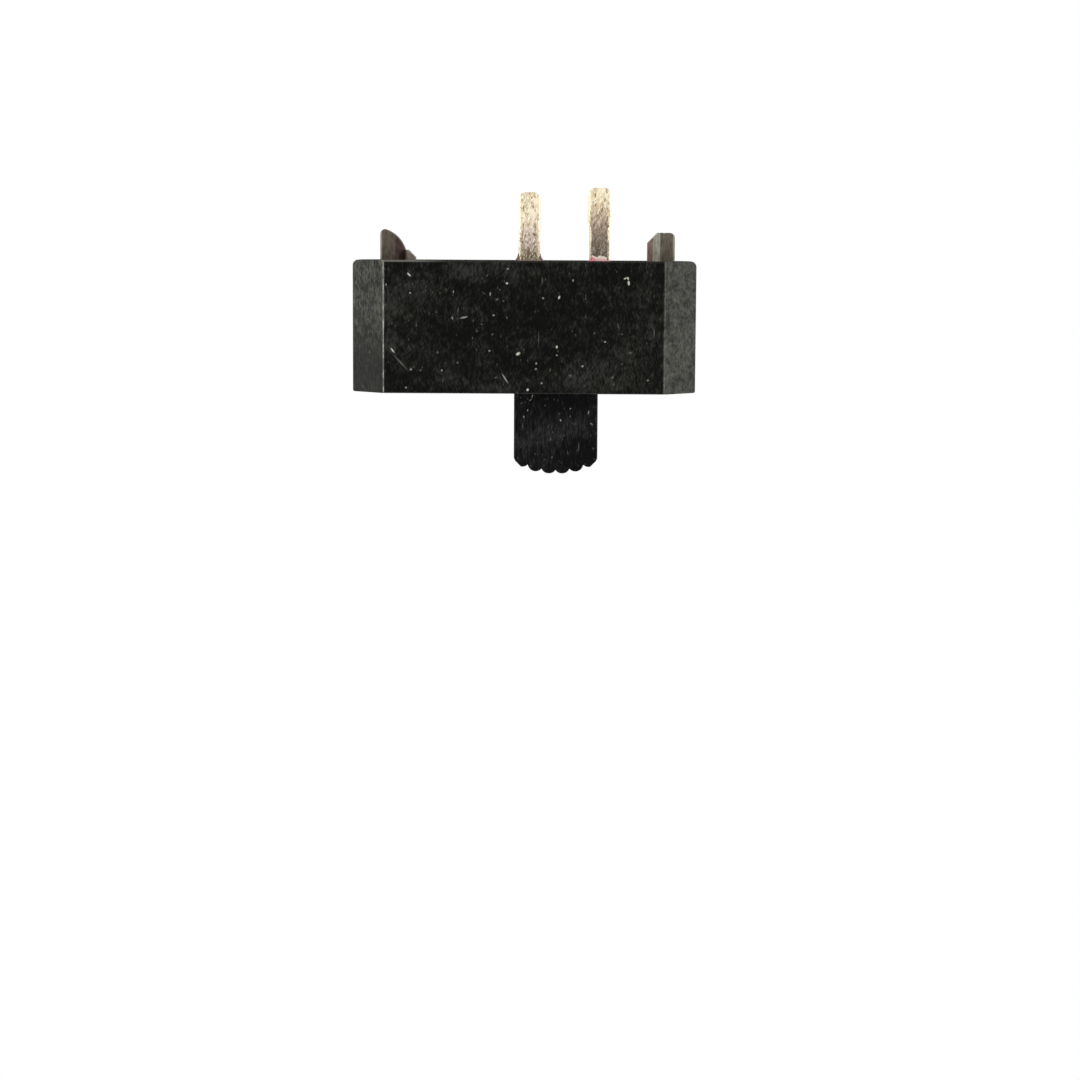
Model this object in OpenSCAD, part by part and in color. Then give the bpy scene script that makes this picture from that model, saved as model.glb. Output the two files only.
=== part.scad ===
// Miniature power slide switch, single pole, two positions, for a printed board.
// X runs along the body, Y through its thickness, Z up towards the knob.
// The origin is the middle of the rim that seats on the board.

/* [Housing] */
// Length of the housing
body_l = 22.5; // [22.2:0.1:30]
// Thickness of the housing
body_d = 6.8; // [6.7:0.1:10]
// Height of the housing from its rim to its roof
body_h = 8.6; // [8.5:0.1:12]
// 45 degree cut on the four upright corners
corner_cut = 2.15; // [1:0.05:2.4]
// Radius of the ends' edges at the rim
rim_end_r = 0.4; // [0.1:0.05:0.6]
// Radius of the other outer edges
edge_r = 0.12; // [0.05:0.01:0.3]
// Radius of the upright edges beside the 45 degree corners
arris_r = 0.15; // [0.05:0.01:0.3]
// Thickness of the roof
roof_t = 1; // [0.8:0.05:1.5]
// Wall beside the slide
wall_t = 1.1; // [1:0.05:1.3]
// Thinner wall round the mouth, below the ledge that the base seats on
skirt_t = 0.8; // [0.6:0.05:0.95]
// Wall behind the 45 degree corners
corner_wall = 0.75; // [0.6:0.05:0.9]

/* [Knob] */
// Width of the knob along the travel
knob_w = 5.5; // [4:0.1:6]
// Thickness of the knob
knob_d = 3.4; // [2.4:0.1:3.6]
// Height of the knob's crest above the roof
knob_h = 5.35; // [3:0.05:8]
// Travel between the two positions
travel = 4.2; // [3.4:0.1:4.4]
// Number of ridges on the crest
ridges = 6; // [3:1:6]
// Flat ledge on each side of the row of ridges
ridge_ledge = 0.05; // [0:0.05:0.3]
// Radius of one ridge
ridge_r = 0.52; // [0.46:0.01:0.6]
// Radius of the crowned line that the ridges follow
crest_r = 5.4; // [4:0.1:12]
// 45 degree cut beside the first and the last ridge
crest_cut = 0.48; // [0.1:0.01:0.5]
// Radius of the knob's edges at front and rear
knob_edge_r = 0.2; // [0.1:0.05:0.4]

/* [Carriage] */
// How far the cover plate reaches past the slot when the knob is at the other end
cover_lap = 0.4; // [0.3:0.05:0.5]
// Thickness of the cover plate
cover_t = 0.7; // [0.5:0.05:0.8]
// Wall at each end of the block that holds the springs
block_wall = 0.85; // [0.6:0.05:1.2]
// Running clearance of the block over the track
block_gap = 0.25; // [0.15:0.01:0.3]
// Room in the block for the bridge to lift
bridge_lift = 0.35; // [0.25:0.01:0.45]
// Running clearance on each side of the slide
slide_gap = 0.15; // [0.1:0.01:0.25]
// Clearance at each end of the slot
slot_end_gap = 0.25; // [0.1:0.05:0.4]

/* [Terminals] */
// Place of the common pin along the body
common_x = -0.3; // [-0.8:0.1:0]
// Distance between the two pins
pin_pitch = 4.6; // [4.4:0.1:4.8]
// Width of a pin
pin_w = 1.3; // [1:0.05:1.4]
// Thickness of the terminal strip
pin_t = 0.8; // [0.5:0.05:0.9]
// Radius of a pin's long edges, rounded by the tin
pin_edge_r = 0.15; // [0.05:0.01:0.2]
// Radius of the corners of a pin's tip
pin_tip_r = 0.48; // [0.3:0.01:0.5]
// Length of the common pin below the rim
common_pin_l = 4.45; // [3:0.05:6]
// Length of the throw pin below the rim
throw_pin_l = 4.75; // [3:0.05:6]
// Thickness of the tin on the common pin
common_tin_t = 0.05; // [0.02:0.01:0.12]
// Thickness of the tin left on the throw pin's end
throw_tin_t = 0.1; // [0.02:0.01:0.12]
// Length of the throw pin's end that holds the tin
throw_tin_l = 2.7; // [1.2:0.1:3]
// Width of a terminal's head
head_w = 2.4; // [2:0.05:2.6]
// Height of a terminal's head
head_h = 0.85; // [0.6:0.05:1]
// Length of a silver pad along the travel
pad_l = 2; // [1.6:0.05:2.2]
// Width of a silver pad across the travel
pad_d = 1.5; // [1:0.05:1.8]
// Thickness of a silver pad
pad_t = 0.35; // [0.3:0.01:0.4]

/* [Base] */
// Thickness of the base plate
base_t = 2.1; // [1.8:0.1:2.4]
// Height of the raised track that the bridge slides on
track_h = 0.4; // [0.35:0.01:0.5]
// Width of the track
track_d = 3; // [2.4:0.1:3.4]
// Depth of the poured seal's surface below the rim
seal_recess = 0.15; // [0:0.05:0.4]
// Thickness of the poured seal
seal_t = 0.75; // [0.5:0.05:0.9]
// Height of the low collar of resin round each pin
collar_h = 0.2; // [0.15:0.01:0.3]
// Height that the resin creeps up the edges of the common pin
edge_creep_h = 0.6; // [0.2:0.05:0.8]
// Height that the resin creeps up the faces of the throw pin
face_creep_h = 0.5; // [0.2:0.05:0.8]
// Thickness of the resin where it ends on a pin
creep_t = 0.1; // [0.05:0.01:0.15]
// Height of the tall post below the rim
fin_h = 2; // [1.4:0.05:2]
// Width of the tall post along the body
fin_w = 1.7; // [1.2:0.05:2]
// Distance of the tall post's outer side from the end of the body
fin_inset = 1.8; // [1.4:0.05:3]
// Height of the blunt post below the rim
blunt_h = 1.85; // [1.2:0.05:3]
// Width of the blunt post along the body
blunt_w = 1.75; // [1.2:0.05:2]
// Distance of the blunt post's outer side from the end of the body
blunt_inset = 1.43; // [1.3:0.05:3]
// Thickness of both posts through the body
post_d = 2.2; // [1.5:0.1:2.6]
// Fit of moulded and pressed pieces, on each side
fit_gap = 0.05; // [0.03:0.01:0.08]

/* [Bridge] */
// Thickness of the copper bridge
bridge_t = 0.45; // [0.3:0.05:0.5]
// Width of the bridge
bridge_d = 2.2; // [1.8:0.1:2.4]
// Length of the bridge past each button's axis
bridge_end = 0.65; // [0.55:0.05:0.7]
// Radius of a silver button
button_r = 0.5; // [0.4:0.05:0.55]
// Height of a button below the bridge
button_h = 0.35; // [0.3:0.01:0.4]
// Radius of a button's rivet shank
shank_r = 0.3; // [0.2:0.05:0.35]
// Gap drawn between the buttons and the pads
contact_gap = 0.05; // [0.03:0.01:0.1]

/* [Detent and springs] */
// Radius of a detent ball
ball_r = 0.6; // [0.5:0.05:0.6]
// How far a ball drops into its dimple
ball_throw = 0.25; // [0.15:0.01:0.25]
// Clearance round a ball in its bore
ball_gap = 0.05; // [0.03:0.01:0.08]
// Wire radius of the contact spring
contact_wire_r = 0.15; // [0.1:0.01:0.17]
// Mean coil radius of the contact spring
contact_coil_r = 0.9; // [0.8:0.01:0.95]
// Turns of the contact spring
contact_turns = 4.5; // [3:0.5:5]
// Wire radius of the detent spring
detent_wire_r = 0.11; // [0.08:0.01:0.12]
// Mean coil radius of the detent spring
detent_coil_r = 0.42; // [0.38:0.01:0.44]
// Turns of the detent spring
detent_turns = 6.5; // [5:0.5:7]

/* [Hidden] */
$fn = 48;
wire_sides = 8;
rings_per_turn = 12;
// Extra depth of a cut past the face it opens through
over = 1;

// Wall left over the contact spring's pocket and over the bridge's room
pocket_roof = 0.4;
bore_web = 0.1;
// Clearance of a spring in its pocket and of a ball in its dimple
pocket_gap = 0.15;
dimple_gap = 0.15;

// Heights in the stack, from the rim upwards
base_z = seal_recess + seal_t;
ledge_z = base_z + base_t;
track_z = ledge_z + track_h;
roof_z = body_h - roof_t;
cover_top_z = roof_z - slide_gap;
cover_z = cover_top_z - cover_t;
block_z = track_z + block_gap;
head_z = track_z - pad_t - head_h;
strip_z = track_z + contact_gap + button_h;
strip_top_z = strip_z + bridge_t;
bridge_room_z = strip_top_z + bridge_lift;
pocket_top_z = cover_z - pocket_roof;
crest_z = body_h + knob_h;

// Plan sizes of the mouth and of the bay above the ledge
bay_l = body_l - 2 * wall_t;
bay_d = body_d - 2 * wall_t;
bay_cut = inner_cut(bay_l, bay_d);
mouth_l = body_l - 2 * skirt_t;
mouth_d = body_d - 2 * skirt_t;
mouth_cut = inner_cut(mouth_l, mouth_d);

// Slide: slot in the roof, cover plate under it, and the bridge's room in the block
knob_x = -travel / 2;
slot_l = knob_w + travel + 2 * slot_end_gap;
slot_d = knob_d + 2 * slide_gap;
slot_corner_r = 0.3;
knob_side_r = slot_corner_r - slide_gap;
cover_l = slot_l + travel + 2 * cover_lap;
block_d = bay_d - 2 * slide_gap;
cover_cut = max(0.1, inner_cut(cover_l + travel, block_d) + slide_gap * sqrt(2));
ridge_pitch = (knob_w - 2 * ridge_ledge - 2 * ridge_r) / (ridges - 1);
throw_x = common_x - pin_pitch;
bridge_x = (common_x + throw_x) / 2 - knob_x;
bridge_l = pin_pitch + 2 * bridge_end;
bridge_gap = 2 * fit_gap;
room_l = bridge_l + 2 * bridge_gap;
room_d = bridge_d + 2 * bridge_gap;

// Detent: a ball stands back by its throw until it reaches a dimple
bore_r = ball_r + ball_gap;
ball_x = bridge_x + room_l / 2 + bore_r;
ball_y = bay_d / 2 - ball_gap - ball_r;
ball_z = bridge_room_z + bore_web + bore_r;
dimple_r = ball_r + dimple_gap;
pocket_r = contact_coil_r + contact_wire_r + pocket_gap;
// The coil's end turns lie on the balls' flanks
ball_flank = sqrt(pow(ball_r, 2) - pow(detent_coil_r, 2));
detent_l = 2 * (ball_y - ball_flank - 2 * detent_wire_r + fit_gap);

// End posts, as distances from the middle of the body
fin_out = body_l / 2 - fin_inset;
fin_in = fin_out - fin_w;
fin_curve_r = 2.1;
fin_tip_r = 0.35;
fin_step_w = 0.55;
fin_step_h = 0.65;
fin_step_cut = 0.48;
blunt_out = body_l / 2 - blunt_inset;
blunt_corner_r = 0.35;
blunt_cut_w = 0.67;
blunt_cut_h = 0.67;
post_foot_z = base_z + base_t / 2;
post_tip_r = 0.25;
// Flats that ease each post's inner edges: corners as x from the inner side, y from the middle
fin_flats = [[0, post_d / 2 - 0.45], [0.65, post_d / 2]];
blunt_flats = [[0, post_d / 2 - 0.55], [0.3, post_d / 2 - 0.25], [0.78, post_d / 2]];

// Corner cut of a bay l by d that leaves the named wall behind the body's 45 degree corners.
function inner_cut(l, d) = (l + d - body_l - body_d) / 2 + corner_cut + corner_wall * sqrt(2);

// Points of an arc of radius r that rounds a 135 degree corner at p, whose first side runs at angle a.
function rounded_corner(p, a, r) = [
    for (turn = [0:15:45])
        p + r * [
            sin(a + turn) - sin(a) - tan(22.5) * cos(a),
            cos(a) - cos(a + turn) - tan(22.5) * sin(a)
        ]
];

// Outside plan of the body: as cut_plan, with its upright edges rounded by r.
module rounded_plan(l, d, cut, r) {
    x = l / 2;
    y = d / 2;
    corners = [
        [x - cut, -y], [x, cut - y], [x, y - cut], [x - cut, y],
        [cut - x, y], [-x, y - cut], [-x, cut - y], [cut - x, -y]
    ];
    polygon([for (i = [0:7]) each rounded_corner(corners[i], 45 * i, r)]);
}

// Plan of a bay in the body: a rectangle with its corners cut at 45 degrees.
module cut_plan(l, d, cut) {
    x = l / 2;
    y = d / 2;
    polygon([
        [cut - x, -y], [x - cut, -y], [x, cut - y], [x, y - cut],
        [x - cut, y], [cut - x, y], [-x, y - cut], [-x, cut - y]
    ]);
}

// Rectangle w by h standing on the origin, its lower corners rounded by r_low, its upper by r_high.
module rounded_panel(w, h, r_low, r_high) {
    difference() {
        translate([-w / 2, 0]) square([w, h]);
        for (side = [0, 1]) {
            mirror([side, 0]) translate([-w / 2, 0]) corner_waste(r_low);
            mirror([side, 0]) translate([-w / 2, h]) mirror([0, 1]) corner_waste(r_high);
        }
    }
}

// What is taken off a corner at the origin to round it by r.
module corner_waste(r) {
    difference() {
        translate([-r, -r]) square(2 * r);
        translate([r, r]) circle(r);
    }
}

// Extrudes a shape drawn in X and Z through the thickness d, centred on Y.
module through_y(d) {
    rotate([90, 0, 0]) linear_extrude(d, center = true) children();
}

// Extrudes a shape drawn in Y and Z along the length l, centred on X.
module through_x(l) {
    rotate([90, 0, 90]) linear_extrude(l, center = true) children();
}

// Round coil of wire standing on the origin, with closed end turns.
module coil(coil_r, wire_r, length, turns) {
    steps = turns * rings_per_turn;
    closed = rings_per_turn * 0.75;
    rise = length - 2 * wire_r;
    lift = 2 * wire_r * 0.8;
    function height(i) =
        i < closed ? lift * i / closed
        : i > steps - closed ? rise - lift * (steps - i) / closed
        : lift + (rise - 2 * lift) * (i - closed) / (steps - 2 * closed);
    points = [
        for (i = [0:steps], k = [0:wire_sides - 1])
            let (turn = 360 * i / rings_per_turn, around = 360 * k / wire_sides)
            let (r = coil_r + wire_r * cos(around))
            [r * cos(turn), r * sin(turn), wire_r + height(i) + wire_r * sin(around)]
    ];
    sides = [
        for (i = [0:steps - 1], k = [0:wire_sides - 1])
            let (a = i * wire_sides + k, b = i * wire_sides + (k + 1) % wire_sides)
            [a, b, b + wire_sides, a + wire_sides]
    ];
    start = [for (k = [wire_sides - 1:-1:0]) k];
    end = [for (k = [0:wire_sides - 1]) steps * wire_sides + k];
    polyhedron(points, concat([start], sides, [end]), convexity = 10);
}

// Moulded shell: bay and mouth cut from below, slot through the roof, dimples for the balls.
module housing() {
    color("#23231f") difference() {
        intersection() {
            linear_extrude(body_h) rounded_plan(body_l, body_d, corner_cut, arris_r);
            through_y(body_d + over) rounded_panel(body_l, body_h, rim_end_r, edge_r);
            through_x(body_l + over) rounded_panel(body_d, body_h, edge_r, edge_r);
        }
        translate([0, 0, -over]) linear_extrude(ledge_z + over) cut_plan(mouth_l, mouth_d, mouth_cut);
        linear_extrude(roof_z) cut_plan(bay_l, bay_d, bay_cut);
        linear_extrude(body_h + over) translate([0, -slot_d / 2])
            rounded_panel(slot_l, slot_d, slot_corner_r, slot_corner_r);
        for (position = [0, travel], side = [-1, 1])
            translate([knob_x + position + ball_x, side * (ball_y + ball_throw), ball_z]) sphere(dimple_r);
    }
}

// Front outline of the knob: a straight shank and a row of round ridges on a crowned line.
module knob_outline() {
    shoulder_z = ridge_z(ridges - 1);
    difference() {
        union() {
            translate([-knob_w / 2, cover_z]) square([knob_w, shoulder_z - cover_z]);
            polygon(concat(
                [[ridge_x(0), cover_z]],
                [for (i = [0:ridges - 1]) [ridge_x(i), ridge_z(i)]],
                [[ridge_x(ridges - 1), cover_z]]
            ));
            for (i = [0:ridges - 1])
                translate([ridge_x(i), ridge_z(i)]) circle(ridge_r);
        }
        for (side = [-1, 1])
            translate([side * knob_w / 2, shoulder_z + ridge_r]) rotate(45)
                square(crest_cut * sqrt(2), center = true);
    }
}

// Middle of ridge i along the knob, and its height.
function ridge_x(i) = (i - (ridges - 1) / 2) * ridge_pitch;
function ridge_z(i) = crest_z - ridge_r - crest_r + sqrt(pow(crest_r, 2) - pow(ridge_x(i), 2));

// Knob and carriage, one moulding: knob, cover plate under the roof, and the springs' block.
module actuator() {
    block_start = bridge_x - room_l / 2 - block_wall;
    block_end = ball_x + bore_r + block_wall;
    color("#2a2a2c") translate([knob_x, 0, 0]) difference() {
        union() {
            intersection() {
                through_y(knob_d) knob_outline();
                through_x(knob_w) rounded_panel(knob_d, crest_z, knob_edge_r, knob_edge_r);
                linear_extrude(crest_z) translate([0, -knob_d / 2])
                    rounded_panel(knob_w, knob_d, knob_side_r, knob_side_r);
            }
            translate([0, 0, cover_z]) linear_extrude(cover_t) cut_plan(cover_l, block_d, cover_cut);
            translate([block_start, -block_d / 2, block_z])
                cube([block_end - block_start, block_d, cover_z - block_z]);
        }
        translate([bridge_x - room_l / 2, -room_d / 2, block_z - over])
            cube([room_l, room_d, bridge_room_z - block_z + over]);
        translate([bridge_x, 0, block_z]) cylinder(r = pocket_r, h = pocket_top_z - block_z);
        translate([ball_x, 0, ball_z]) rotate([90, 0, 0]) cylinder(r = bore_r, h = body_d, center = true);
    }
}

// Tall end post: straight outside, round inside, with a low step at its foot.
module fin_post() {
    overlap = 0.1;
    translate([fin_in, 0, 0]) {
        intersection() {
            through_post(fin_h) intersection() {
                translate([0, -fin_h]) post_outline(fin_w, fin_h + post_foot_z, fin_tip_r);
                union() {
                    translate([fin_curve_r, 0]) circle(fin_curve_r);
                    square([fin_w, post_foot_z]);
                }
            }
            post_prism(fin_h, fin_w, fin_flats);
        }
        through_post(fin_step_h) translate([-fin_step_w, -fin_step_h]) difference() {
            square([fin_step_w + overlap, fin_step_h + post_foot_z]);
            rotate(45) square(fin_step_cut * sqrt(2), center = true);
        }
    }
}

// Blunt end post: chamfered inside, flat end with a small nick, round outer corner.
module blunt_post() {
    nick = 0.12;
    mirror([1, 0, 0]) translate([blunt_out - blunt_w, 0, 0]) intersection() {
        through_post(blunt_h) translate([0, -blunt_h]) difference() {
            post_outline(blunt_w, blunt_h + post_foot_z, blunt_corner_r);
            polygon([
                [-over, -over], [blunt_cut_w, -over], [blunt_cut_w, 0],
                [0, blunt_cut_h], [-over, blunt_cut_h]
            ]);
            translate([blunt_w - blunt_cut_w, 0]) rotate(45) square(nick, center = true);
        }
        post_prism(blunt_h, blunt_w, blunt_flats);
    }
}

// Front outline of a post w by h standing on the origin, its lower outer corner rounded by r.
module post_outline(w, h, r) {
    difference() {
        square([w, h]);
        translate([w, 0]) mirror([1, 0]) corner_waste(r);
    }
}

// Upright prism on the plan of a post w wide, its inner edges eased by the given flats.
module post_prism(h, w, flats) {
    translate([0, 0, -h]) linear_extrude(h + post_foot_z) polygon(concat(
        [[w, -post_d / 2], [w, post_d / 2]],
        [for (i = [len(flats) - 1:-1:0]) flats[i]],
        [for (flat = flats) [flat.x, -flat.y]]
    ));
}

// Room that a terminal and its pad take in the base, with the fit on each side.
module terminal_room(x) {
    translate([x - pin_w / 2 - fit_gap, -pin_t / 2 - fit_gap, 0])
        cube([pin_w + 2 * fit_gap, pin_t + 2 * fit_gap, track_z + over]);
    translate([x - head_w / 2 - fit_gap, -pin_t / 2 - fit_gap, head_z])
        cube([head_w + 2 * fit_gap, pin_t + 2 * fit_gap, track_z]);
    translate([x - pad_l / 2 - fit_gap, -pad_d / 2 - fit_gap, track_z - pad_t])
        cube([pad_l + 2 * fit_gap, pad_d + 2 * fit_gap, pad_t + over]);
}

// Extrudes a post's outline through its thickness and rounds the front and rear edges of its tip.
module through_post(h) {
    intersection() {
        through_y(post_d) children();
        translate([0, 0, -h]) through_x(body_l) rounded_panel(post_d, body_h, post_tip_r, post_tip_r);
    }
}

// Thermoset moulding that closes the mouth: plate, sliding track and the two end posts.
module terminal_base() {
    track_l = bay_l - 2 * bay_cut;
    color("#54463c") difference() {
        union() {
            translate([0, 0, base_z]) linear_extrude(base_t)
                cut_plan(mouth_l - 2 * fit_gap, mouth_d - 2 * fit_gap, mouth_cut);
            translate([-track_l / 2, -track_d / 2, base_z]) cube([track_l, track_d, track_z - base_z]);
            fin_post();
            blunt_post();
        }
        terminal_room(common_x);
        terminal_room(throw_x);
    }
}

// Brass terminal stamped from strip: square head, and a pin whose end is thicker by its tin.
module terminal(x, pin_l, tin_l, tin_t) {
    color("#c8b48c") translate([x, 0, 0]) {
        translate([-head_w / 2, -pin_t / 2, head_z]) cube([head_w, pin_t, head_h]);
        translate([0, 0, -pin_l]) {
            rounded_strip(pin_w, pin_t, pin_l + head_z + head_h);
            rounded_strip(pin_w + 2 * tin_t, pin_t + 2 * tin_t, tin_l);
        }
    }
}

// Strip w by t standing on the origin, with rounded long edges and ends.
module rounded_strip(w, t, l) {
    intersection() {
        through_y(t) rounded_panel(w, l, pin_tip_r, pin_tip_r);
        linear_extrude(l) translate([0, -t / 2]) rounded_panel(w, t, pin_edge_r, pin_edge_r);
    }
}

module common_terminal() {
    terminal(common_x, common_pin_l, common_pin_l, common_tin_t);
}

module throw_terminal() {
    terminal(throw_x, throw_pin_l, throw_tin_l, throw_tin_t);
}

// Silver pad welded on a terminal's head, its ends eased so that a button rides up on it.
module pad(x) {
    color("#d8d8d4") through_y(pad_d) translate([x, track_z - pad_t])
        rounded_panel(pad_l, pad_t, 0.02, 0.12);
}

module common_contact() {
    pad(common_x);
}

module throw_contact() {
    pad(throw_x);
}

// Copper bridge under the carriage: flat strip with turned-up ends and a boss that centres the spring.
module moving_contact() {
    boss_r = contact_coil_r - contact_wire_r - 0.1;
    color("#b87048") translate([knob_x + bridge_x, 0, 0]) difference() {
        union() {
            through_y(bridge_d) translate([0, strip_z]) rounded_panel(bridge_l, bridge_t, 0.25, 0.05);
            translate([0, 0, strip_z]) cylinder(r = boss_r, h = bridge_t + 0.25);
        }
        for (side = [-1, 1])
            translate([side * pin_pitch / 2, 0, strip_z - over])
                cylinder(r = shank_r, h = bridge_t + 2 * over);
    }
}

// Silver button riveted in the bridge: domed head below, shank, flat peened head above.
module moving_button(x) {
    dome_r = (pow(button_r, 2) + pow(button_h, 2)) / (2 * button_h);
    color("#d8d8d4") translate([x, 0, 0]) {
        intersection() {
            translate([0, 0, strip_z - button_h + dome_r]) sphere(dome_r);
            translate([0, 0, strip_z - button_h]) cylinder(r = button_r, h = button_h);
        }
        translate([0, 0, strip_z]) cylinder(r = shank_r, h = bridge_t);
        translate([0, 0, strip_top_z]) cylinder(r = shank_r + 0.15, h = 0.15);
    }
}

module moving_button_common() {
    moving_button(common_x);
}

module moving_button_throw() {
    moving_button(throw_x);
}

// Spring that presses the bridge on the pads, between the strip and the end of its pocket.
module contact_spring() {
    color("#9a9a9c") translate([knob_x + bridge_x, 0, strip_top_z])
        coil(contact_coil_r, contact_wire_r, pocket_top_z - strip_top_z, contact_turns);
}

// Spring across the carriage that pushes both balls outwards.
module detent_spring() {
    color("#9a9a9c") translate([knob_x + ball_x, detent_l / 2, ball_z]) rotate([90, 0, 0])
        coil(detent_coil_r, detent_wire_r, detent_l, detent_turns);
}

// Hardened steel ball in the carriage's cross bore.
module detent_ball(side) {
    color("#b4b6ba") translate([knob_x + ball_x, side * ball_y, ball_z]) sphere(ball_r);
}

module detent_ball_front() {
    detent_ball(-1);
}

module detent_ball_rear() {
    detent_ball(1);
}

// Poured seal: fills the mouth under the base, round both posts, and creeps up each pin.
module epoxy_seal() {
    color("#8c4038") difference() {
        union() {
            translate([0, 0, seal_recess]) linear_extrude(seal_t)
                cut_plan(mouth_l, mouth_d, mouth_cut);
            translate([common_x, 0, seal_recess]) creep(edge_creep_h, collar_h);
            translate([throw_x, 0, seal_recess]) creep(collar_h, face_creep_h);
        }
        fin_post();
        blunt_post();
        common_terminal();
        throw_terminal();
    }
}

// Resin crept down a pin from the origin: a low collar, reaching further on its edges or its faces.
module creep(edge_h, face_h) {
    intersection() {
        through_y(body_d) creep_outline(pin_w / 2, collar_h);
        through_x(body_d) creep_outline(pin_t / 2, collar_h);
    }
    through_y(pin_t - 2 * pin_edge_r) creep_outline(pin_w / 2, edge_h);
    through_x(pin_w - 2 * pin_edge_r) creep_outline(pin_t / 2, face_h);
}

// Hollow outline of resin that creeps down by h on both sides of a pin, whose sides are at x.
module creep_outline(x, h) {
    foot = x + creep_t + h;
    difference() {
        translate([-foot, -h]) square([2 * foot, h]);
        for (side = [-1, 1]) translate([side * foot, -h]) circle(h);
    }
}

housing();
actuator();
terminal_base();
common_terminal();
throw_terminal();
common_contact();
throw_contact();
moving_contact();
moving_button_common();
moving_button_throw();
contact_spring();
detent_spring();
detent_ball_front();
detent_ball_rear();
epoxy_seal();
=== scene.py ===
import math
from functools import reduce

import bmesh
import bpy
from mathutils import Matrix, Vector


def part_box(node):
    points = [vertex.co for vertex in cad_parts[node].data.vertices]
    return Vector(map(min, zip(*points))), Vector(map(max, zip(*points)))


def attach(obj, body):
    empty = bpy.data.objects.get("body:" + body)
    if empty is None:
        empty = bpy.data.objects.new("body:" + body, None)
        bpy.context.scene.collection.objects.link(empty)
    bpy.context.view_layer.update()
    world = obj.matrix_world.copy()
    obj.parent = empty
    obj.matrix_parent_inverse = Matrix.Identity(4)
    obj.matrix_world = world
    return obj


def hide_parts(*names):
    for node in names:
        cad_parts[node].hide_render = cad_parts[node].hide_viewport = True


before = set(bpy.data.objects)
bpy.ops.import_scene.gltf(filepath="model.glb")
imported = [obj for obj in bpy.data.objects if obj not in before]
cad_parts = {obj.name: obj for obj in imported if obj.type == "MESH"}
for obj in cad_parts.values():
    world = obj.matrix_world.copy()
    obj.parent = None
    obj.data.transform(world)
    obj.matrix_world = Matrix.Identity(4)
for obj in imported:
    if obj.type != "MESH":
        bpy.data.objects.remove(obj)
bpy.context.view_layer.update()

# Housing: one black glass-filled moulding, smooth on its broad faces and finely grained on the cut
# corners, which are painted paler, partly for that grain and partly as a painted sheen. Handling has left
# pale nicks, a scratch or two and lint; one upright edge is painted bright, partly as wear and partly as a
# painted highlight. Lengths are millimetres, and left is towards +x.
mm = 0.001
low, high = (Vector(corner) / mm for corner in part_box("housing"))
half_d, body_h = high.y, high.z
front_y = -half_d
corner_cut = 2.15
arris_x = high.x - corner_cut


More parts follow.
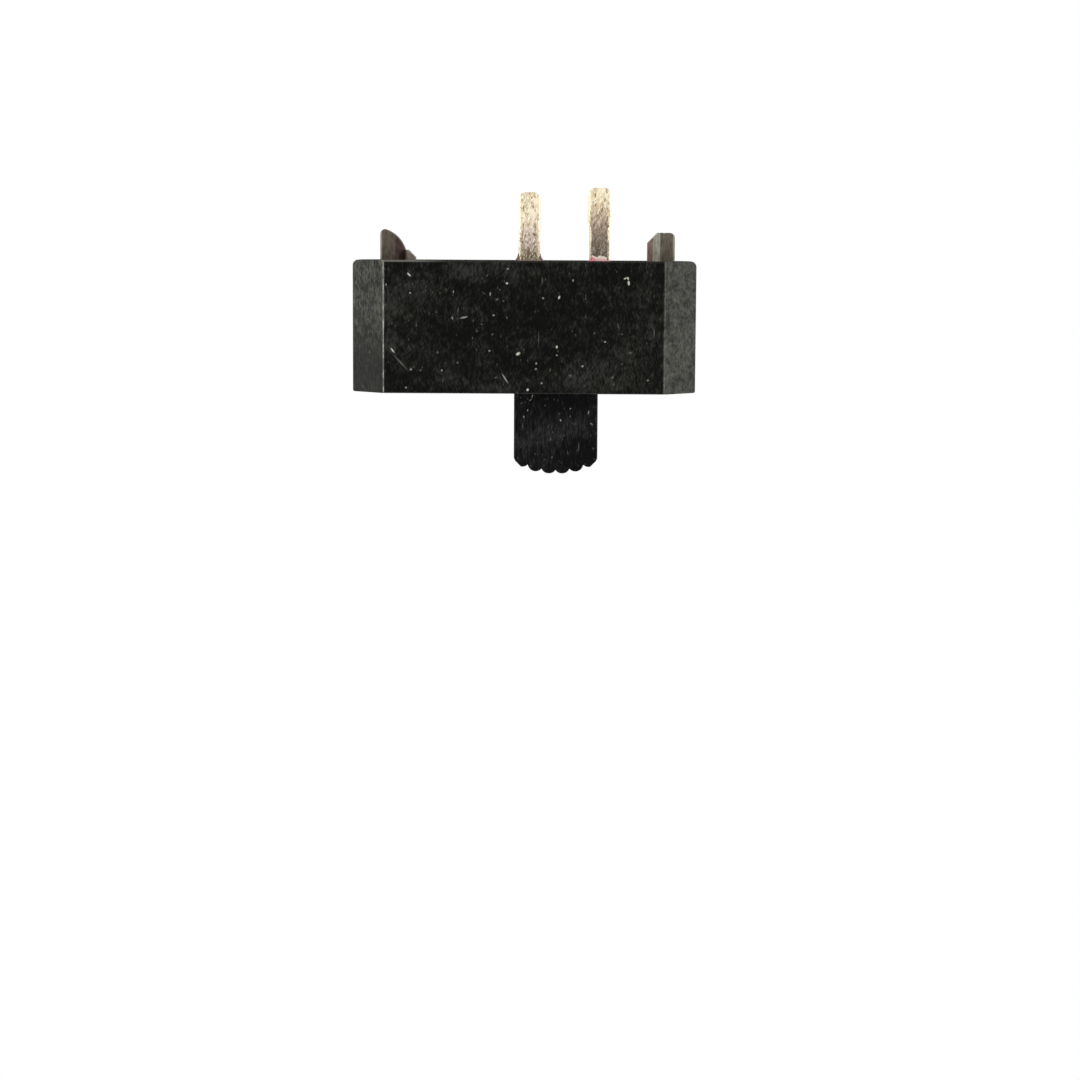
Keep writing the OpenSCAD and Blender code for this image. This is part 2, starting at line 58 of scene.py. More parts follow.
class Finish:
    """A procedural material, and the sums that build it."""

    def __init__(self, name, roughness=0.5, specular=0.5, metallic=0.0):
        self.material = bpy.data.materials.new(name)
        self.material.use_nodes = True
        self.tree = self.material.node_tree
        self.tree.nodes.clear()
        self.shader = self.node("BsdfPrincipled")
        self.tree.links.new(self.shader.outputs[0], self.node("OutputMaterial").inputs[0])
        self.shader.inputs["Roughness"].default_value = roughness
        self.shader.inputs["Specular IOR Level"].default_value = specular
        self.shader.inputs["Metallic"].default_value = metallic

    def node(self, kind):
        return self.tree.nodes.new("ShaderNode" + kind)

    def feed(self, socket, value):
        """Links a socket to another, or sets a plain value on it."""
        if isinstance(value, bpy.types.NodeSocket):
            self.tree.links.new(value, socket)
        elif isinstance(value, tuple) and socket.type == "RGBA":
            socket.default_value = (*value, 1)
        else:
            socket.default_value = value

    def colour(self, value):
        self.feed(self.shader.inputs["Base Color"], value)

    def place(self, stretch=(1, 1, 1), tilt=0):
        """Place on the piece in millimetres, divided by the length of the grain along each axis,
        with the grain leaning by a tilt in degrees."""
        node = self.node("Mapping")
        node.vector_type = "TEXTURE"
        self.feed(node.inputs["Vector"], self.node("TexCoord").outputs["Object"])
        node.inputs["Rotation"].default_value = (0, -math.radians(tilt), 0)
        node.inputs["Scale"].default_value = [s * mm for s in stretch]
        return node.outputs[0]

    def axes(self):
        """The place in millimetres as three numbers."""
        split = self.node("SeparateXYZ")
        self.feed(split.inputs[0], self.place())
        return split.outputs

    def noise(self, stretch, detail=3, roughness=0.55, distortion=0.0, tilt=0):
        """Cloudy pattern whose grain has the given length along each axis."""
        node = self.node("TexNoise")
        self.feed(node.inputs["Vector"], self.place(stretch, tilt))
        node.inputs["Scale"].default_value = 1
        node.inputs["Detail"].default_value = detail
        node.inputs["Roughness"].default_value = roughness
        node.inputs["Distortion"].default_value = distortion
        return node.outputs[0]

    def calc(self, operation, *values):
        node = self.node("Math")
        node.operation = operation
        for socket, value in zip(node.inputs, values):
            self.feed(socket, value)
        return node.outputs[0]

    def add(self, *parts):
        """Adds up (value, weight) pairs and plain numbers."""
        total = 0.0
        for part in parts:
            value, weight = part if isinstance(part, tuple) else (part, 1.0)
            total = self.calc("MULTIPLY_ADD", value, weight, total)
        return total

    def mottled(self, level, *grains):
        """A level that (noise, weight) pairs swing up and down, each noise being a half on average."""
        swing = sum(weight for _, weight in grains)
        return self.add(level - swing / 2, *grains)

    def times(self, *factors):
        """Multiplies sockets and plain numbers."""
        return reduce(lambda product, factor: self.calc("MULTIPLY", product, factor), factors)

    def between(self, value, low, high, start=0.0, end=1.0):
        """Goes smoothly from start to end as the value goes from low to high."""
        node = self.node("MapRange")
        node.interpolation_type = "SMOOTHSTEP"
        for socket, number in zip(node.inputs, (value, low, high, start, end)):
            self.feed(socket, number)
        return node.outputs[0]

    def blend(self, share, a, b):
        """Mix of two colours."""
        node = self.node("Mix")
        node.data_type = "RGBA"
        for socket, value in ((node.inputs[0], share), (node.inputs[6], a), (node.inputs[7], b)):
            self.feed(socket, value)
        return node.outputs[2]

    def spots(self, face_y, shapes, soft=0.5):
        """1 inside flat ellipses on a broad face, falling to 0 at their edges. Each ellipse is given
        by its middle x and z, its half length and half width, and its tilt in degrees."""
        where = self.place()
        inside = 0.0
        for x, z, half_l, half_w, tilt in shapes:
            node = self.node("TexGradient")
            node.gradient_type = "SPHERICAL"
            self.feed(node.inputs["Vector"], where)
            node.texture_mapping.vector_type = "TEXTURE"
            node.texture_mapping.translation = (x, face_y, z)
            node.texture_mapping.rotation = (0, -math.radians(tilt), 0)
            node.texture_mapping.scale = (half_l, 0.3, half_w)
            inside = self.calc("MAXIMUM", inside, node.outputs["Fac"])
        return self.between(inside, 0, soft)

    def specks(self, spacing, size, share, stretch=(1, 1, 1)):
        """Scattered dust: specks of the given size, drawn out by the stretch, in a share of the cells,
        each with a brightness of its own."""
        node = self.node("TexVoronoi")
        self.feed(node.inputs["Vector"], self.place([spacing * s for s in stretch]))
        node.inputs["Scale"].default_value = 1
        inside = self.between(node.outputs["Distance"], 0.4 * size / spacing, size / spacing, 1, 0)
        split = self.node("SeparateXYZ")
        self.feed(split.inputs[0], node.outputs["Color"])
        picked = self.calc("GREATER_THAN", split.outputs[0], 1 - share)
        return self.times(inside, picked, split.outputs[1])

    def bump(self, height, depth):
        """Roughens the surface by a height, up to a depth in millimetres."""
        node = self.node("Bump")
        node.inputs["Distance"].default_value = depth * mm
        self.feed(node.inputs["Height"], height)
        self.feed(self.shader.inputs["Normal"], node.outputs[0])


def dress(finish, *names):
    """Gives CAD pieces their finish."""
    for name in names:
        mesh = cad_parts[name].data
        mesh.materials.clear()
        mesh.materials.append(finish.material)


# Soft patches of more or less dust on the broad front face: x, z, half width, half height, tilt.
dusty = [
    (8.6, 5.2, 1.5, 1.3, 0), (-4.3, 7.8, 4.4, 1.6, 0), (6.7, 2.0, 2.8, 1.5, 0), (3.9, 0.8, 1.9, 1.1, 0),
    (8.6, 3.2, 1.8, 1.7, 0),
]
dulled = [
    (-8.2, 4.0, 2.4, 5.4, 0), (-6.0, 6.0, 3.4, 2.8, 0), (0.2, 0.6, 8.6, 1.2, 0), (6.2, 6.7, 2.2, 2.4, 0),
    (-7.6, 7.9, 2.6, 1.3, 0), (2.2, 8.0, 5.6, 1.0, 0), (7.7, 3.1, 2.2, 1.3, 0), (-6.6, 4.9, 2.0, 1.0, 0),
]
clean = [(-5.9, 0.9, 1.9, 1.2, 0), (8.6, 7.6, 1.3, 1.2, 0), (0.2, 4.2, 5.6, 2.0, 0), (5.2, 4.4, 2.0, 1.2, 0)]
# Nicks, lint and scratches on the same face: x, z, half length, half width, tilt.
bright_marks = [
    (7.45, 0.93, 0.2, 0.07, -48), (0.38, 6.0, 0.19, 0.12, 30), (8.52, 5.82, 0.25, 0.06, -52),
    (-6.53, 1.1, 0.15, 0.06, 23), (-6.75, 1.4, 0.2, 0.09, -84), (-6.7, 1.1, 0.13, 0.07, -80),
    (-2.26, 2.35, 0.15, 0.08, 70), (1.12, 1.46, 0.1, 0.09, 0), (-2.13, 5.55, 0.13, 0.08, 85),
    (-0.25, 8.33, 0.12, 0.1, 60),
]
plain_marks = [
    (8.93, 1.58, 0.1, 0.05, 90), (7.38, 2.11, 0.09, 0.08, 0), (4.58, 2.02, 0.12, 0.05, 90),
    (1.07, 0.53, 0.09, 0.08, 0), (2.2, 2.15, 0.17, 0.06, 85), (3.9, 3.67, 0.32, 0.08, 12),
    (4.65, 3.72, 0.13, 0.05, -70), (1.97, 3.52, 0.09, 0.08, 0), (2.24, 5.82, 0.09, 0.08, 0),
    (7.33, 7.05, 0.1, 0.09, 0), (5.32, 7.1, 0.08, 0.08, 0), (7.65, 8.23, 0.09, 0.08, 0),
    (1.22, 7.6, 0.46, 0.065, -57), (-3.15, 1.25, 0.11, 0.07, 90), (-1.22, 2.4, 0.09, 0.08, 0),
    (-5.25, 5.2, 0.1, 0.08, 0), (-2.13, 6.08, 0.08, 0.07, 0), (-0.8, 6.62, 0.1, 0.08, 90),
    (-0.78, 6.98, 0.09, 0.08, 0), (-3.8, 6.78, 0.11, 0.09, 20), (-8.05, 7.68, 0.08, 0.07, 0),
    (-1.15, 7.9, 0.09, 0.08, 0),
]
faint_marks = [
    (2.4, 0.96, 0.18, 0.06, 60), (1.58, 1.87, 0.08, 0.08, 0), (1.75, 2.5, 0.16, 0.12, 30),
    (2.62, 2.1, 0.22, 0.04, -40), (4.27, 3.2, 0.32, 0.045, 84), (1.12, 3.67, 0.14, 0.07, 90),
    (6.97, 4.2, 0.14, 0.05, 85), (3.34, 5.0, 0.13, 0.06, 90), (8.0, 6.6, 0.95, 0.08, -47),
    (7.15, 6.9, 0.07, 0.06, 0), (1.82, 7.55, 0.16, 0.07, 20), (-1.16, 1.25, 0.28, 0.05, 88),
    (-3.97, 2.42, 0.1, 0.06, 80), (-4.55, 4.65, 0.1, 0.08, 60), (-6.1, 4.2, 0.35, 0.05, -72),
    (-6.33, 4.7, 0.12, 0.07, 0), (-8.43, 4.6, 0.5, 0.05, 86), (-1.7, 7.05, 0.17, 0.07, 75),
    (-6.35, 6.62, 0.12, 0.05, 35), (-5.75, 7.5, 0.14, 0.12, 0), (-5.82, 7.95, 0.12, 0.06, 85),
    (-0.95, 5.0, 0.65, 0.035, 90), (6.7, 7.1, 0.12, 0.1, 0), (5.6, 5.95, 0.14, 0.09, 60),
    (4.3, 6.6, 0.12, 0.12, 0), (2.05, 4.75, 0.12, 0.09, 70), (3.05, 4.55, 0.1, 0.08, 0),
    (1.35, 2.6, 0.1, 0.09, 0), (2.75, 4.1, 0.09, 0.08, 0), (9.0, 2.9, 0.1, 0.06, 90),
    (-6.9, 5.9, 0.14, 0.1, 0), (-3.0, 7.4, 0.16, 0.1, 0),
]

housing = Finish("housing black", roughness=0.5, specular=0.06)
x, y, z = housing.axes()
across, through = housing.calc("ABSOLUTE", x), housing.calc("ABSOLUTE", y)
clouds = housing.noise((1.3, 1.3, 1.3), detail=3)
mottle = housing.noise((0.42, 0.42, 0.5), detail=3, roughness=0.6)
strokes = housing.noise((0.1, 0.1, 0.5), detail=3, roughness=0.6, distortion=0.4, tilt=14)
cross = housing.noise((0.09, 0.09, 0.36), detail=2, roughness=0.6, distortion=0.4, tilt=-28)
tone = housing.mottled(0.29, (clouds, 1.1), (mottle, 1.4), (strokes, 1.9), (cross, 1.6))
for patches, weight in ((dusty, 0.45), (dulled, 0.22), (clean, -0.12)):
    tone = housing.add(tone, (housing.spots(front_y, patches, soft=1.0), weight))
tone = housing.calc("POWER", housing.calc("MAXIMUM", tone, 0.0), 2.0)
hue = housing.between(housing.noise((2.6, 2.6, 2.6), detail=2), 0.42, 0.58)
colour = housing.blend(hue, (0.0345, 0.0345, 0.029), (0.0345, 0.0342, 0.0332))
colour = housing.blend(tone, (0.0013, 0.0013, 0.001), colour)

# Cut corners: painted paler, partly for their grain and partly as a painted sheen, with an upright
# grain on the left ones and a lumpy one on the right. Painted shade darkens the knob's half of the left ones.
cut_plane = arris_x + half_d
ear = housing.between(housing.calc("ADD", across, through), cut_plane - 0.1, cut_plane - 0.03)
left_end = housing.calc("GREATER_THAN", x, 0.0)
# Painted shade: the left corners grow darker from half way up towards the roof.
left_ear_painted_shade = housing.times(housing.between(z, 3.0, 6.4), left_end)
lumps = housing.noise((0.17, 0.17, 0.2), detail=2, roughness=0.6)
lumpy, upright = housing.mottled(0.3, (lumps, 1.3)), housing.mottled(0.25, (strokes, 2.4))
ear_tone = housing.mottled(0, (cross, 1.0), (clouds, 0.8), (mottle, 0.9))
ear_tone = housing.add(ear_tone, housing.between(left_end, 0, 1, lumpy, upright))
# The pale end of this colour is partly the grain and partly a painted sheen.
ear_grain_and_sheen = housing.blend(ear_tone, (0.012, 0.0125, 0.01), (0.125, 0.126, 0.108))
ear_grain_and_sheen = housing.blend(housing.times(left_ear_painted_shade, 0.79), ear_grain_and_sheen, (0.006, 0.006, 0.005))
colour = housing.blend(ear, colour, ear_grain_and_sheen)

# Upright edges: all carry a dull pale line of wear; the left front one is painted bright, partly as wear and
# partly as a painted highlight.
edge = housing.between(housing.calc("ABSOLUTE", housing.add(across, -arris_x - 0.02)), 0.01, 0.055, 1, 0)
edge = housing.times(edge, housing.calc("GREATER_THAN", through, half_d - 0.08))
rubbed_and_highlit = housing.times(left_end, housing.calc("LESS_THAN", y, 0.0))
wear_and_highlight = housing.between(housing.noise((0.2, 0.2, 0.6), detail=3, roughness=0.7), 0.42, 0.64, 0.3, 1.0)
edge = housing.times(edge, wear_and_highlight, housing.add(0.2, (rubbed_and_highlit, 0.8)))
colour = housing.blend(edge, colour, (0.44, 0.43, 0.38))

# Rim and roof edges of the broad faces carry a thin pale line, a painted highlight on their rounding, the
# rim's mostly towards the left.
rim = housing.times(housing.between(z, 0.05, 0.16, 1, 0), housing.between(x, 4.5, 7.5, 0.1, 0.9))
rim = housing.times(rim, housing.between(through, half_d - 0.2, half_d - 0.08))
colour = housing.blend(rim, colour, (0.2, 0.195, 0.165))
roof_highlight = housing.between(z, body_h - 0.1, body_h - 0.03)
roof_highlight = housing.times(roof_highlight, housing.between(through, half_d - 0.15, half_d - 0.05), wear_and_highlight)
colour = housing.blend(roof_highlight, colour, (0.045, 0.044, 0.04))

# Loose dust everywhere, then the single marks, of which the bright ones also stand in relief.
dust = housing.specks(spacing=0.22, size=0.045, share=0.25, stretch=(1, 1, 2.6))
colour = housing.blend(housing.times(dust, 0.4), colour, (0.3, 0.3, 0.26))
for marks, share, soft in ((faint_marks, 0.17, 0.9), (plain_marks, 0.45, 0.6), (bright_marks, 1.0, 0.6)):
    scar = housing.spots(front_y, marks, soft)
    colour = housing.blend(housing.times(scar, share), colour, (0.62, 0.6, 0.5))
housing.colour(colour)
housing.bump(housing.add((strokes, 1.0), (cross, 1.0), (scar, 2.0)), depth=0.006)
dress(housing, "housing")

# Knob and carriage: one moulding of the same black plastic, drawn upwards out of its mould, so its
# grain runs upright; the thumb has left it a little paler half way up, with lint by the roof.
knob_d = 3.4
knob_y = -knob_d / 2
# Patches and marks on the knob's front face, as on the housing.
thumbed = [(-1.6, 11.4, 2.4, 1.3, 0), (-3.2, 10.8, 1.8, 1.1, 0), (-0.2, 11.8, 1.4, 1.2, 0)]
shaded = [(-4.1, 12.9, 3.0, 2.0, 0), (-2.2, 8.9, 5.0, 1.6, 0)]
lint = [
    (-0.25, 9.78, 0.1, 0.045, 80), (0.0, 10.2, 0.1, 0.05, -75), (-2.42, 10.42, 0.1, 0.06, -70),
    (-3.05, 9.65, 0.08, 0.045, 60), (-4.25, 9.9, 0.18, 0.04, 78), (-4.45, 10.65, 0.13, 0.04, -40),
    (-0.55, 8.85, 0.2, 0.035, 75), (-0.42, 9.1, 0.13, 0.03, 35),
]
scuffs = [
    (-1.4, 9.45, 0.09, 0.05, 60), (-2.35, 10.0, 0.1, 0.045, 80), (-1.9, 11.2, 0.09, 0.05, 70),
    (-3.04, 10.16, 0.09, 0.05, 80), (-1.86, 12.86, 0.1, 0.07, 60), (-4.58, 12.26, 0.1, 0.06, 80),
    (0.16, 9.3, 0.14, 0.045, 60), (-3.62, 12.16, 0.42, 0.035, 90), (-2.9, 12.55, 0.2, 0.035, -80),
    (0.06, 10.8, 0.25, 0.035, 90), (-1.75, 11.7, 0.14, 0.05, 65), (0.22, 8.95, 0.08, 0.05, 80),
]
knob = Finish("knob black", roughness=0.5, specular=0.06)
streaks = knob.noise((0.09, 0.09, 0.65), detail=4, roughness=0.7, distortion=0.3)
mottle = knob.noise((0.3, 0.3, 0.5), detail=3, roughness=0.6)
cross = knob.noise((0.08, 0.08, 0.3), detail=2, distortion=0.4, tilt=-20)
tone = knob.mottled(0.38, (streaks, 2.4), (mottle, 1.2), (cross, 1.3))
for patches, weight in ((thumbed, 0.34), (shaded, -0.36)):
    tone = knob.add(tone, (knob.spots(knob_y, patches, soft=1.0), weight))
tone = knob.calc("POWER", knob.calc("MAXIMUM", tone, 0.0), 2.0)
colour = knob.blend(tone, (0.001, 0.001, 0.0011), (0.034, 0.034, 0.033))
dust = knob.specks(spacing=0.22, size=0.05, share=0.4, stretch=(1, 1, 2.4))
colour = knob.blend(knob.times(dust, 0.6), colour, (0.28, 0.28, 0.26))
for marks, share, soft in ((scuffs, 0.22, 0.9), (lint, 0.7, 0.8)):
    scar = knob.spots(knob_y, marks, soft)
    colour = knob.blend(knob.times(scar, share), colour, (0.6, 0.59, 0.52))
knob.colour(colour)
knob.bump(knob.add((cross, 1.0), (streaks, 1.0)), depth=0.006)
dress(knob, "actuator")

# Base: brown thermoset moulding that closes the bay and carries the terminals. Its two posts are
# filed lengthwise, and show olive-grey flats in front and reddish brown ones towards the middle of the
# body. Light and shade are painted on them too: the tall post's inner side darker as painted shade, the
# blunt post's inner side lighter as painted light, the step by the tall post lighter as painted light,
# and a pale streak on the blunt post and pale outer edges as painted highlights.
base = Finish("base thermoset", roughness=0.6, specular=0.2)
x, _, z = base.axes()
filed = base.noise((0.1, 0.1, 0.5), detail=4, roughness=0.65)
mottle = base.noise((0.35, 0.35, 0.5), detail=4, roughness=0.6)
shade = base.mottled(0.5, (filed, 2.4), (mottle, 1.4))
brown = base.blend(shade, (0.035, 0.024, 0.018), (0.11, 0.085, 0.068))
tall_flat = base.blend(shade, (0.062, 0.05, 0.037), (0.16, 0.13, 0.1))
# Painted light and shade on the posts: the tall inner side darker, the blunt inner side lighter, a pale
# highlight streak on the blunt post, a lighter step, and pale highlights on the outer edges.
tall_side_in_shade = base.blend(shade, (0.03, 0.018, 0.015), (0.11, 0.065, 0.054))
blunt_side_in_light = base.blend(shade, (0.12, 0.076, 0.062), (0.32, 0.22, 0.18))
blunt_highlight_streak = base.blend(shade, (0.21, 0.2, 0.16), (0.52, 0.5, 0.41))
blunt_flat = base.blend(shade, (0.065, 0.056, 0.041), (0.2, 0.17, 0.13))
lit_step = base.blend(shade, (0.13, 0.11, 0.09), (0.34, 0.28, 0.24))
outer_edge_highlight = base.blend(shade, (0.24, 0.22, 0.18), (0.5, 0.46, 0.4))
colour = brown
# Each flat lies between two places along x, with a soft change from one to the next.
half_change = 0.03
for flat, start, end in (
    (lit_step, 7.0, 7.74), (tall_side_in_shade, 7.74, 8.48), (tall_flat, 8.48, 9.34), (outer_edge_highlight, 9.34, 9.6),
    (blunt_side_in_light, -8.38, -8.0), (blunt_highlight_streak, -8.87, -8.38), (blunt_flat, -9.7, -8.87), (outer_edge_highlight, -9.9, -9.7),
):
    past_start = base.between(x, start - half_change, start + half_change)
    before_end = base.between(x, end - half_change, end + half_change, 1, 0)
    colour = base.blend(base.times(past_start, before_end), colour, flat)
colour = base.blend(base.between(z, 0.1, 0.3), colour, brown)
base.colour(colour)
base.bump(filed, depth=0.015)
dress(base, "terminal_base")


# Terminals: blanked brass strip, pressed through the base and dipped in tin, which froze in ragged
# streaks: cream at the tips, and grey-brown where the flux burnt near the seal. The cream lines along the
# edges and the bright flecks are painted highlights.
def pin_middle(node):
    """Place of a terminal's middle along x."""
    low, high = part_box(node)
    return (low.x + high.x) / 2 / mm


def tin(name, node, rim, turning, sparkle, lit_side, bright, burnt, dull, stain):
    """Tins one terminal whose edges lie at rim from its middle: bright beyond the turning height,
    burnt and then dull towards the seal, where a share of its flecks still carries a painted glint. Both
    edges carry a painted highlight; a positive lit_side makes the left one the brighter, and a negative one
    the right."""
    finish = Finish(name, roughness=0.38, metallic=0.9)
    x, _, z = finish.axes()
    aside = finish.add(x, -pin_middle(node))
    patch = finish.noise((0.35, 0.35, 0.6), detail=3, roughness=0.6)
    dashes = finish.noise((0.12, 0.12, 0.45), detail=3, roughness=0.65, distortion=0.7, tilt=10)
    flecks = finish.noise((0.11, 0.11, 0.35), detail=2, roughness=0.6, distortion=0.5, tilt=-24)
    clean = finish.between(finish.add(z, (patch, 1.6)), turning - 0.3, turning + 1.9, 1, 0)
    colour = finish.blend(finish.between(z, turning + 0.6, turning + 2.0), burnt, dull)
    colour = finish.blend(clean, colour, bright)
    foot = finish.between(z, -0.9, -0.2)
    gold = finish.between(finish.add((patch, 0.8), (flecks, 0.2)), 0.54, 0.44)
    gold = finish.times(gold, finish.add(0.12, (clean, 0.28)))
    colour = finish.blend(gold, colour, (0.4, 0.27, 0.12))
    dark = finish.between(finish.add((dashes, 0.75), (patch, 0.25), (clean, 0.05), (foot, -0.05)), 0.53, 0.43)
    stain = finish.blend(clean, stain, (0.15, 0.085, 0.032))
    colour = finish.blend(finish.times(dark, 0.75), colour, stain)
    # Painted glints on the flecks, all over the bright part and a share of them lower down.
    lit = finish.between(flecks, 0.53, 0.62)
    lit = finish.times(lit, finish.add(sparkle, (clean, 1 - sparkle)))
    colour = finish.blend(lit, colour, (1.0, 0.93, 0.74))
    # Painted highlights along both edges, broken by the dashes and brighter on the lit side.
    edge = finish.between(finish.calc("ABSOLUTE", aside), rim - 0.2, rim - 0.05)
    edge = finish.times(edge, finish.between(dashes, 0.38, 0.48))
    edge = finish.times(edge, finish.add(0.8, (aside, 0.25 * lit_side)))
    colour = finish.blend(edge, colour, (0.79, 0.7, 0.46))
    finish.colour(colour)
    finish.bump(finish.add((dashes, 1.0), (flecks, 1.0)), depth=0.025)
    dress(finish, node)


tin(
    "common tin", "common_terminal", rim=0.65, turning=-2.1, sparkle=0.7, lit_side=0.3,
    bright=(0.97, 0.84, 0.62), burnt=(0.59, 0.475, 0.435),
    dull=(0.46, 0.38, 0.27), stain=(0.14, 0.085, 0.04),
)
tin(
    "throw tin", "throw_terminal", rim=0.68, turning=-3.3, sparkle=0.25, lit_side=-0.3,
    bright=(0.95, 0.82, 0.58), burnt=(0.42, 0.3, 0.22),
    dull=(0.225, 0.188, 0.146), stain=(0.12, 0.085, 0.065),
)

# Seal: reddish-brown resin poured in the mouth, which crept up both pins and thinned there; round
# the throw pin it is pink and milky, with the tin shining through it.
stain_x = pin_middle("throw_terminal") + 0.28
seal = Finish("seal resin", roughness=0.28, specular=0.5)
x, y, z = seal.axes()
swirl = seal.noise((0.5, 0.5, 0.25), detail=4, roughness=0.6, distortion=0.4)
ripple = seal.noise((0.22, 9, 9), detail=2)
brown = seal.blend(swirl, (0.06, 0.025, 0.022), (0.2, 0.11, 0.095))
crept = seal.between(z, 0.04, 0.14, 1, 0)
brown = seal.blend(crept, brown, seal.blend(swirl, (0.22, 0.15, 0.13), (0.48, 0.36, 0.31)))
aside = seal.add(x, -stain_x)
blush = seal.between(seal.add(aside, (swirl, 0.4)), 0.04, 0.24)
pink = seal.blend(blush, (1.0, 0.8, 0.72), (1.0, 0.3, 0.38))
pink = seal.blend(seal.between(z, -0.16, -0.08, 0, 0.6), pink, (0.95, 0.35, 0.4))
# On the pin the pink ends in a wavering cream edge with a thin dark line along it.
crest = seal.add(z, seal.mottled(-0.03, (ripple, 0.6)))
pink = seal.blend(seal.between(crest, -0.26, -0.18, 1, 0), pink, (1.0, 0.95, 0.82))
pink = seal.blend(seal.between(crest, -0.335, -0.295, 1, 0), pink, (0.17, 0.15, 0.115))
reach = seal.calc("SQRT", seal.add((aside, aside), (y, y)))
near_throw = seal.between(seal.add(reach, (swirl, 0.8)), 1.3, 1.75, 1, 0)
seal.colour(seal.blend(near_throw, brown, pink))
seal.feed(seal.shader.inputs["Metallic"], seal.times(near_throw, 0.5))
seal.bump(swirl, depth=0.02)
dress(seal, "epoxy_seal")

# Contact pads and buttons: fine silver, satin and a little tarnished. The pads are brazed on the
# terminals' heads, and the buttons are riveted through the bridge.
silver = Finish("contact silver", roughness=0.3, metallic=1.0)
tarnish = silver.noise((0.4, 0.4, 0.4), detail=4)
silver.colour(silver.blend(silver.between(tarnish, 0.45, 0.75), (0.8, 0.79, 0.75), (0.45, 0.4, 0.32)))
silver.bump(silver.noise((0.05, 0.05, 0.05)), depth=0.003)
dress(silver, "common_contact", "throw_contact", "moving_button_common", "moving_button_throw")

# Bridge: half-hard copper strip, rolled along its length, blanked and punched for the buttons. It
# lies in the carriage's room, where the contact spring pushes it down on the pads.
copper = Finish("bridge copper", roughness=0.35, metallic=1.0)
rolled = copper.noise((1.5, 0.06, 0.06), detail=3)
copper.colour(copper.blend(copper.between(rolled, 0.3, 0.7), (0.5, 0.22, 0.12), (0.75, 0.42, 0.28)))
copper.bump(rolled, depth=0.003)
dress(copper, "moving_contact")

# Detent balls: hardened steel, ground and polished. They lie loose in the carriage's cross bore, and
# snap into dimples in the housing's side walls.
ball = Finish("ball steel", roughness=0.12, metallic=1.0)
ball.colour(ball.blend(ball.noise((0.3, 0.3, 0.3), detail=4), (0.55, 0.56, 0.58), (0.72, 0.73, 0.74)))
dress(ball, "detent_ball_front", "detent_ball_rear")

# Springs: drawn steel wire wound on a mandrel, with closed end turns. The contact spring stands on
# the bridge; the detent spring lies across the carriage between the balls.
wire = Finish("spring wire", roughness=0.25, metallic=1.0)
drawn = wire.noise((0.05, 0.05, 0.05), detail=3)
wire.colour(wire.blend(drawn, (0.34, 0.34, 0.35), (0.62, 0.62, 0.62)))
wire.bump(drawn, depth=0.0006)


def coil(name, node, wire_r, turns, length, stand):
    """Spring wound round the Z axis from the origin upwards, then stood in its place. It is as wide
    as its stand-in in the CAD."""
    low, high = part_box(node)
    coil_r = (high.x - low.x) / 2 / mm - wire_r
    closed_turns, closed_rise = 0.75, 1.6 * wire_r
    open_turns, open_rise = turns - 2 * closed_turns, length - 2 * wire_r - 2 * closed_rise
    steps_per_turn = 40
    bm = bmesh.new()
    circle = Matrix.Translation((coil_r, 0, wire_r)) @ Matrix.Rotation(math.radians(90), 4, "X")
    made = bmesh.ops.create_circle(bm, segments=16, radius=wire_r, matrix=circle)
    ring = list({edge for vert in made["verts"] for edge in vert.link_edges})
    closed = (closed_turns, closed_rise)
    for wound, rise in (closed, (open_turns, open_rise), closed):
        steps = round(wound * steps_per_turn)
        spun = bmesh.ops.spin(
            bm, geom=ring, cent=(0, 0, 0), axis=(0, 0, 1), angle=math.tau * wound, steps=steps,
            dvec=(0, 0, rise / steps), use_duplicate=False,
        )
        ring = [item for item in spun["geom_last"] if isinstance(item, bmesh.types.BMEdge)]
    bmesh.ops.holes_fill(bm, edges=bm.edges, sides=0)
    bmesh.ops.recalc_face_normals(bm, faces=bm.faces)
    bmesh.ops.transform(bm, matrix=Matrix.Scale(mm, 4) @ stand, verts=bm.verts)
    mesh = bpy.data.meshes.new(name)
    bm.to_mesh(mesh)
    bm.free()
    mesh.materials.append(wire.material)
    mesh.shade_smooth()
    spring = bpy.data.objects.new(name, mesh)
    bpy.context.scene.collection.objects.link(spring)
    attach(spring, "slider")
    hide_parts(node)


low, high = (Vector(corner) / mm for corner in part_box("contact_spring"))
upright = Matrix.Translation(((low.x + high.x) / 2, 0, low.z))
coil("contact_coil", "contact_spring", wire_r=0.15, turns=4.5, length=high.z - low.z, stand=upright)
low, high = (Vector(corner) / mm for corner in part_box("detent_spring"))
lying = Matrix.Translation(((low.x + high.x) / 2, high.y, (low.z + high.z) / 2))
lying = lying @ Matrix.Rotation(math.radians(90), 4, "X")
coil("detent_coil", "detent_spring", wire_r=0.11, turns=6.5, length=high.y - low.y, stand=lying)

# Stage: a pale floor well below the pins, which fades out away from the switch, a white surround,
# soft lamps at both ends, and a small lamp high on the left that picks out the bright left front edge.
floor_r, floor_z = 300 * mm, -30 * mm
solid_r, gone_r = 50, 120
bm = bmesh.new()
drop = Matrix.Translation((0, 0, floor_z))
bmesh.ops.create_circle(bm, cap_ends=True, segments=96, radius=floor_r, matrix=drop)
mesh = bpy.data.meshes.new("floor")
bm.to_mesh(mesh)
bm.free()
floor = bpy.data.objects.new("floor", mesh)
bpy.context.scene.collection.objects.link(floor)
pale = Finish("floor pale", roughness=0.8, specular=0.2)
pale.colour((0.85, 0.85, 0.85))
x, y, _ = pale.axes()
away = pale.calc("SQRT", pale.add((x, x), (y, y)))
fade = pale.node("MixShader")
pale.feed(fade.inputs[0], pale.between(away, solid_r, gone_r))
pale.feed(fade.inputs[1], pale.shader.outputs[0])
pale.feed(fade.inputs[2], pale.node("BsdfTransparent").outputs[0])
pale.feed(pale.tree.nodes["Material Output"].inputs[0], fade.outputs[0])
mesh.materials.append(pale.material)

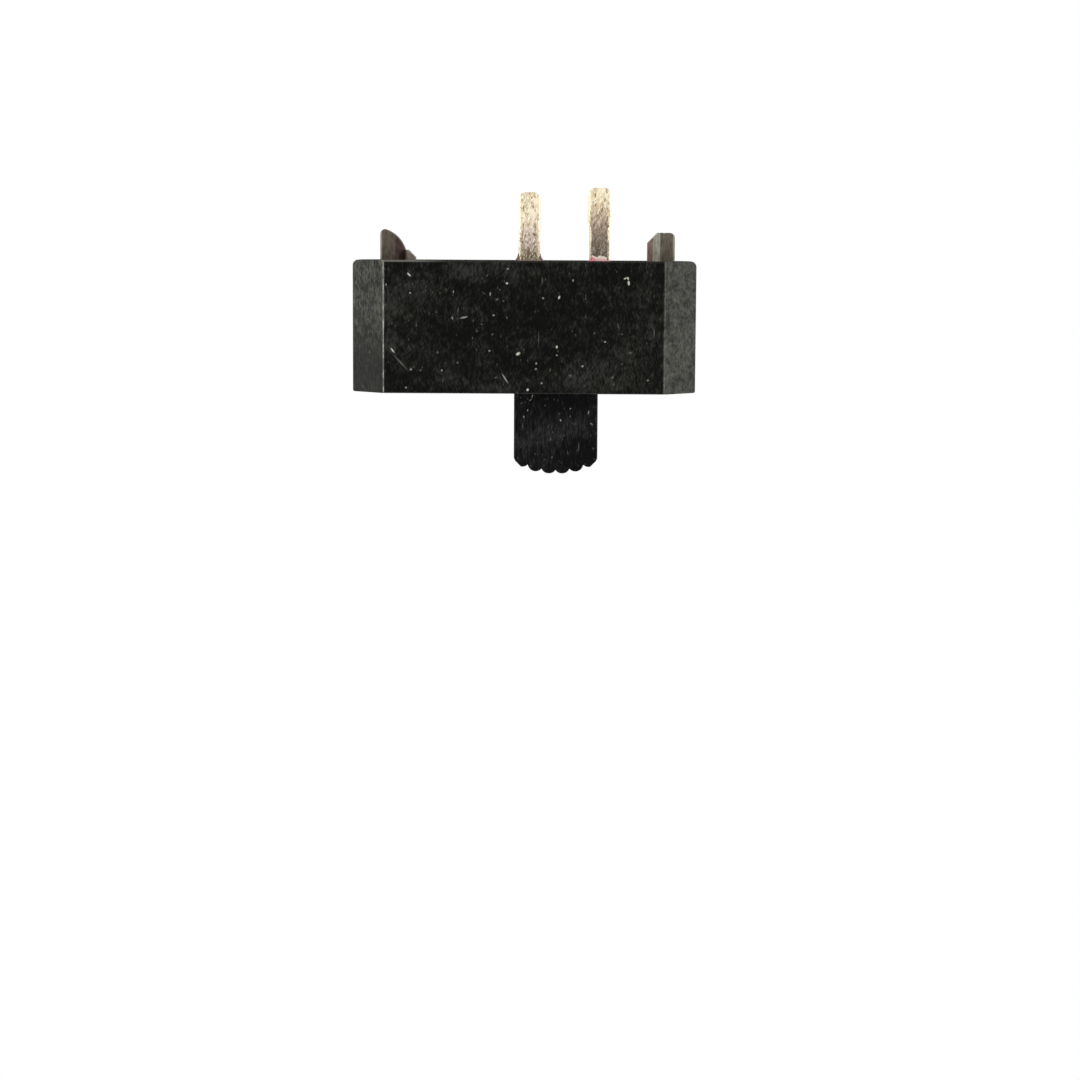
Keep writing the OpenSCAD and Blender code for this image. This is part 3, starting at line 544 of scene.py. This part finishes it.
world = bpy.data.worlds.new("studio")
bpy.context.scene.world = world
world.use_nodes = True
tree = world.node_tree
tree.nodes.clear()
rays = tree.nodes.new("ShaderNodeLightPath")
seen = rays.outputs["Is Camera Ray"]
for kind in ("Is Glossy Ray", "Is Transmission Ray"):
    either = tree.nodes.new("ShaderNodeMath")
    either.operation = "MAXIMUM"
    tree.links.new(seen, either.inputs[0])
    tree.links.new(rays.outputs[kind], either.inputs[1])
    seen = either.outputs[0]
grey = tree.nodes.new("ShaderNodeMix")
grey.data_type = "RGBA"
tree.links.new(seen, grey.inputs[0])
grey.inputs[6].default_value = (0.5, 0.5, 0.5, 1)
grey.inputs[7].default_value = (1, 1, 1, 1)
sky = tree.nodes.new("ShaderNodeBackground")
tree.links.new(grey.outputs[2], sky.inputs["Color"])
tree.links.new(sky.outputs[0], tree.nodes.new("ShaderNodeOutputWorld").inputs[0])


def softbox(name, at, size, power):
    """Square lamp at a place in millimetres, facing the switch."""
    lamp = bpy.data.objects.new(name, bpy.data.lights.new(name, "AREA"))
    bpy.context.scene.collection.objects.link(lamp)
    lamp.data.size = size * mm
    lamp.data.energy = power
    lamp.location = Vector(at) * mm
    lamp.rotation_euler = (-Vector(at)).to_track_quat("-Z", "Y").to_euler()


softbox("left softbox", at=(260, -40, 20), size=220, power=0.5)
softbox("right softbox", at=(-260, -40, 20), size=220, power=0.5)
softbox("edge lamp", at=(180, -180, 60), size=60, power=0.1)
bpy.context.scene.view_settings.view_transform = "Standard"

# Camera: it looks at the broad front face, upside down, so that the pins are up and the knob hangs. It
# stands level with the pins, nods 6.7 degrees towards the knob and leans a third of a degree.
nod = math.radians(6.68)
lean = math.radians(0.33)
camera = bpy.data.objects.new("camera", bpy.data.cameras.new("camera"))
bpy.context.scene.collection.objects.link(camera)
camera.data.sensor_width = 36
camera.data.lens = 84.7
camera.data.clip_start = 5 * mm
camera.data.clip_end = 5
level_right = Vector((-1, 0, 0))
level_up = Vector((0, math.sin(nod), -math.cos(nod)))
image_right = math.cos(lean) * level_right + math.sin(lean) * level_up
image_up = math.cos(lean) * level_up - math.sin(lean) * level_right
turn = Matrix((image_right, image_up, image_right.cross(image_up))).transposed()
eye = Vector((-1.11, -168.4, -1.18)) * mm
camera.matrix_world = Matrix.Translation(eye) @ turn.to_4x4()
bpy.context.scene.camera = camera
